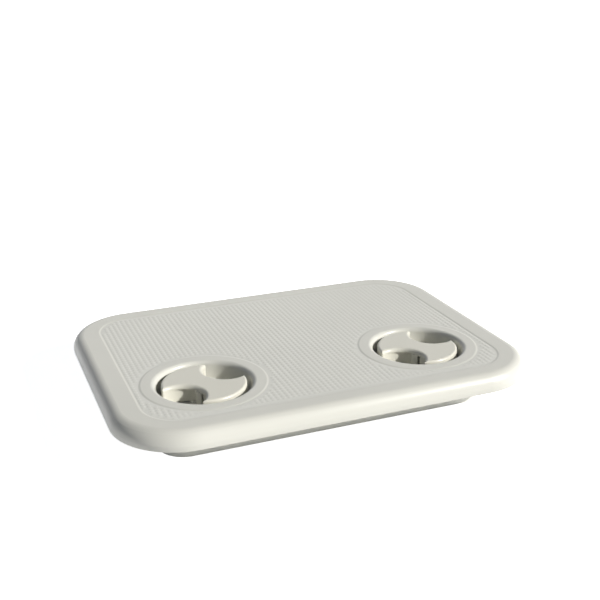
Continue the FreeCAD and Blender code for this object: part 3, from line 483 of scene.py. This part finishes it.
def set_normals(piece):
    """Keeps the solid's own normals, points flat new faces up, and averages the normals of the others."""
    weights = piece.modifiers.new("flat_faces_lead", "WEIGHTED_NORMAL")
    weights.keep_sharp = True
    averaged = piece.evaluated_get(bpy.context.evaluated_depsgraph_get()).data.corner_normals
    data = piece.data
    own = data.attributes[OWN_NORMAL].data
    normals = []
    for polygon in data.polygons:
        level = min(data.vertices[v].co.z for v in polygon.vertices) > TOP - WELD
        for corner in polygon.loop_indices:
            if own[corner].vector.length > NOTED:
                normals.append(own[corner].vector.copy())
            elif level:
                normals.append(UP)
            else:
                normals.append(averaged[corner].vector.copy())
    piece.modifiers.remove(weights)
    data.attributes.remove(data.attributes[OWN_NORMAL])
    data.normals_split_custom_set(normals)


def make_lid():
    """The lid's own mesh, with its flat top made again: soft steps and square bumps in one skin."""
    source = nodes["lid"].data
    mesh = bmesh.new()
    mesh.from_mesh(source)
    note_normals(mesh, source)
    bmesh.ops.remove_doubles(mesh, verts=mesh.verts, dist=WELD)
    sheet = Sheet(mesh)
    sheet.add_rim(open_top(mesh))
    outline_steps(sheet)
    bumps = outline_bumps(sheet)
    stitch(sheet, bumps)
    raise_bumps(sheet, bumps)
    loose = [vert for vert in mesh.verts if not vert.link_faces]
    bmesh.ops.delete(mesh, geom=loose, context="VERTS")
    bmesh.ops.recalc_face_normals(mesh, faces=mesh.faces)
    data = bpy.data.meshes.new("lid_with_tread")
    mesh.to_mesh(data)
    mesh.free()
    data.shade_smooth()
    data.set_sharp_from_angle(angle=math.radians(SHARP_ANGLE))
    lid = bpy.data.objects.new("lid_with_tread", data)
    scene.collection.objects.link(lid)
    data.materials.append(shell)
    data.materials.append(tread)
    set_normals(lid)
    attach(lid, "cover")
    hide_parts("lid")


# Camera

def make_camera():
    camera = bpy.data.objects.new("camera", bpy.data.cameras.new("camera"))
    scene.collection.objects.link(camera)
    camera.data.lens = CAMERA_LENS
    camera.data.clip_start = CAMERA_NEAR
    camera.data.clip_end = CAMERA_FAR
    back = toward(CAMERA_AZIMUTH, CAMERA_ELEVATION)
    level = UP.cross(back).normalized()
    right = Matrix.Rotation(math.radians(CAMERA_ROLL), 3, back) @ level
    up = back.cross(right)
    place = Vector((*CAMERA_TARGET, TOP)) + back * CAMERA_DISTANCE
    axes = Matrix((right, up, back)).transposed()
    camera.matrix_world = Matrix.Translation(place) @ axes.to_4x4()
    scene.camera = camera


# Light and floor

def make_light():
    sun = bpy.data.objects.new("key", bpy.data.lights.new("key", "SUN"))
    scene.collection.objects.link(sun)
    sun.data.energy = SUN_STRENGTH
    sun.data.angle = math.radians(SUN_SPREAD)
    sun.data.color = SUN_COLOUR
    sun.rotation_mode = "QUATERNION"
    sun.rotation_quaternion = toward(SUN_AZIMUTH, SUN_ELEVATION).to_track_quat("Z", "Y")


def background_rays(tree):
    """1 for rays that see the plain background: the camera's own, mirrored ones and those through glass."""
    path = tree.nodes.new("ShaderNodeLightPath")
    either = path.outputs["Is Camera Ray"]
    for name in ("Is Glossy Ray", "Is Transmission Ray"):
        larger = tree.nodes.new("ShaderNodeMath")
        larger.operation = "MAXIMUM"
        tree.links.new(either, larger.inputs[0])
        tree.links.new(path.outputs[name], larger.inputs[1])
        either = larger.outputs[0]
    return either


def fading(tree, height, low, low_colour, high, high_colour):
    """A background that goes from one colour to another between two heights."""
    ramp = tree.nodes.new("ShaderNodeValToRGB")
    background = tree.nodes.new("ShaderNodeBackground")
    stops = ((low, low_colour), (high, high_colour))
    for element, (position, colour) in zip(ramp.color_ramp.elements, stops):
        element.position = position
        element.color = (*colour, 1)
    tree.links.new(height, ramp.inputs["Fac"])
    tree.links.new(ramp.outputs["Color"], background.inputs["Color"])
    return background.outputs["Background"]


def make_world():
    """Dim bluish light on the object, before a background that shows white low down and grey overhead."""
    world = bpy.data.worlds.new("studio")
    scene.world = world
    world.use_nodes = True
    tree = world.node_tree
    tree.nodes.clear()
    output = tree.nodes.new("ShaderNodeOutputWorld")
    mix = tree.nodes.new("ShaderNodeMixShader")
    place = tree.nodes.new("ShaderNodeTexCoord")
    split = tree.nodes.new("ShaderNodeSeparateXYZ")
    tree.links.new(place.outputs["Generated"], split.inputs[0])
    height = split.outputs["Z"]
    light = fading(tree, height, 0, WALL_LIGHT, WALL_HEIGHT, CEILING_LIGHT)
    seen = fading(tree, height, WHITE_TO, WHITE, DIM_FROM, CEILING_SEEN)
    tree.links.new(background_rays(tree), mix.inputs["Fac"])
    tree.links.new(light, mix.inputs[1])
    tree.links.new(seen, mix.inputs[2])
    tree.links.new(mix.outputs["Shader"], output.inputs["Surface"])


def make_floor():
    """A plain pale floor that shows white and keeps the object's shadow."""
    mesh = bpy.data.meshes.new("floor")
    r = FLOOR_REACH
    mesh.from_pydata([(-r, -r, 0), (r, -r, 0), (r, r, 0), (-r, r, 0)], [], [(0, 1, 2, 3)])
    floor = bpy.data.objects.new("floor", mesh)
    scene.collection.objects.link(floor)
    material = bpy.data.materials.new("floor")
    material.use_nodes = True
    tree = material.node_tree
    tree.nodes.clear()
    output = tree.nodes.new("ShaderNodeOutputMaterial")
    matt = tree.nodes.new("ShaderNodeBsdfDiffuse")
    matt.inputs["Color"].default_value = (*FLOOR_COLOUR, 1)
    glow = tree.nodes.new("ShaderNodeEmission")
    lift = tree.nodes.new("ShaderNodeMath")
    lift.operation = "MULTIPLY"
    lift.inputs[1].default_value = FLOOR_LIFT
    both = tree.nodes.new("ShaderNodeAddShader")
    tree.links.new(background_rays(tree), lift.inputs[0])
    tree.links.new(lift.outputs[0], glow.inputs["Strength"])
    tree.links.new(matt.outputs["BSDF"], both.inputs[0])
    tree.links.new(glow.outputs["Emission"], both.inputs[1])
    tree.links.new(both.outputs["Shader"], output.inputs["Surface"])
    mesh.materials.append(material)


paint_nodes()
make_lid()
make_camera()
make_light()
make_world()
make_floor()
scene.view_settings.view_transform = "Standard"
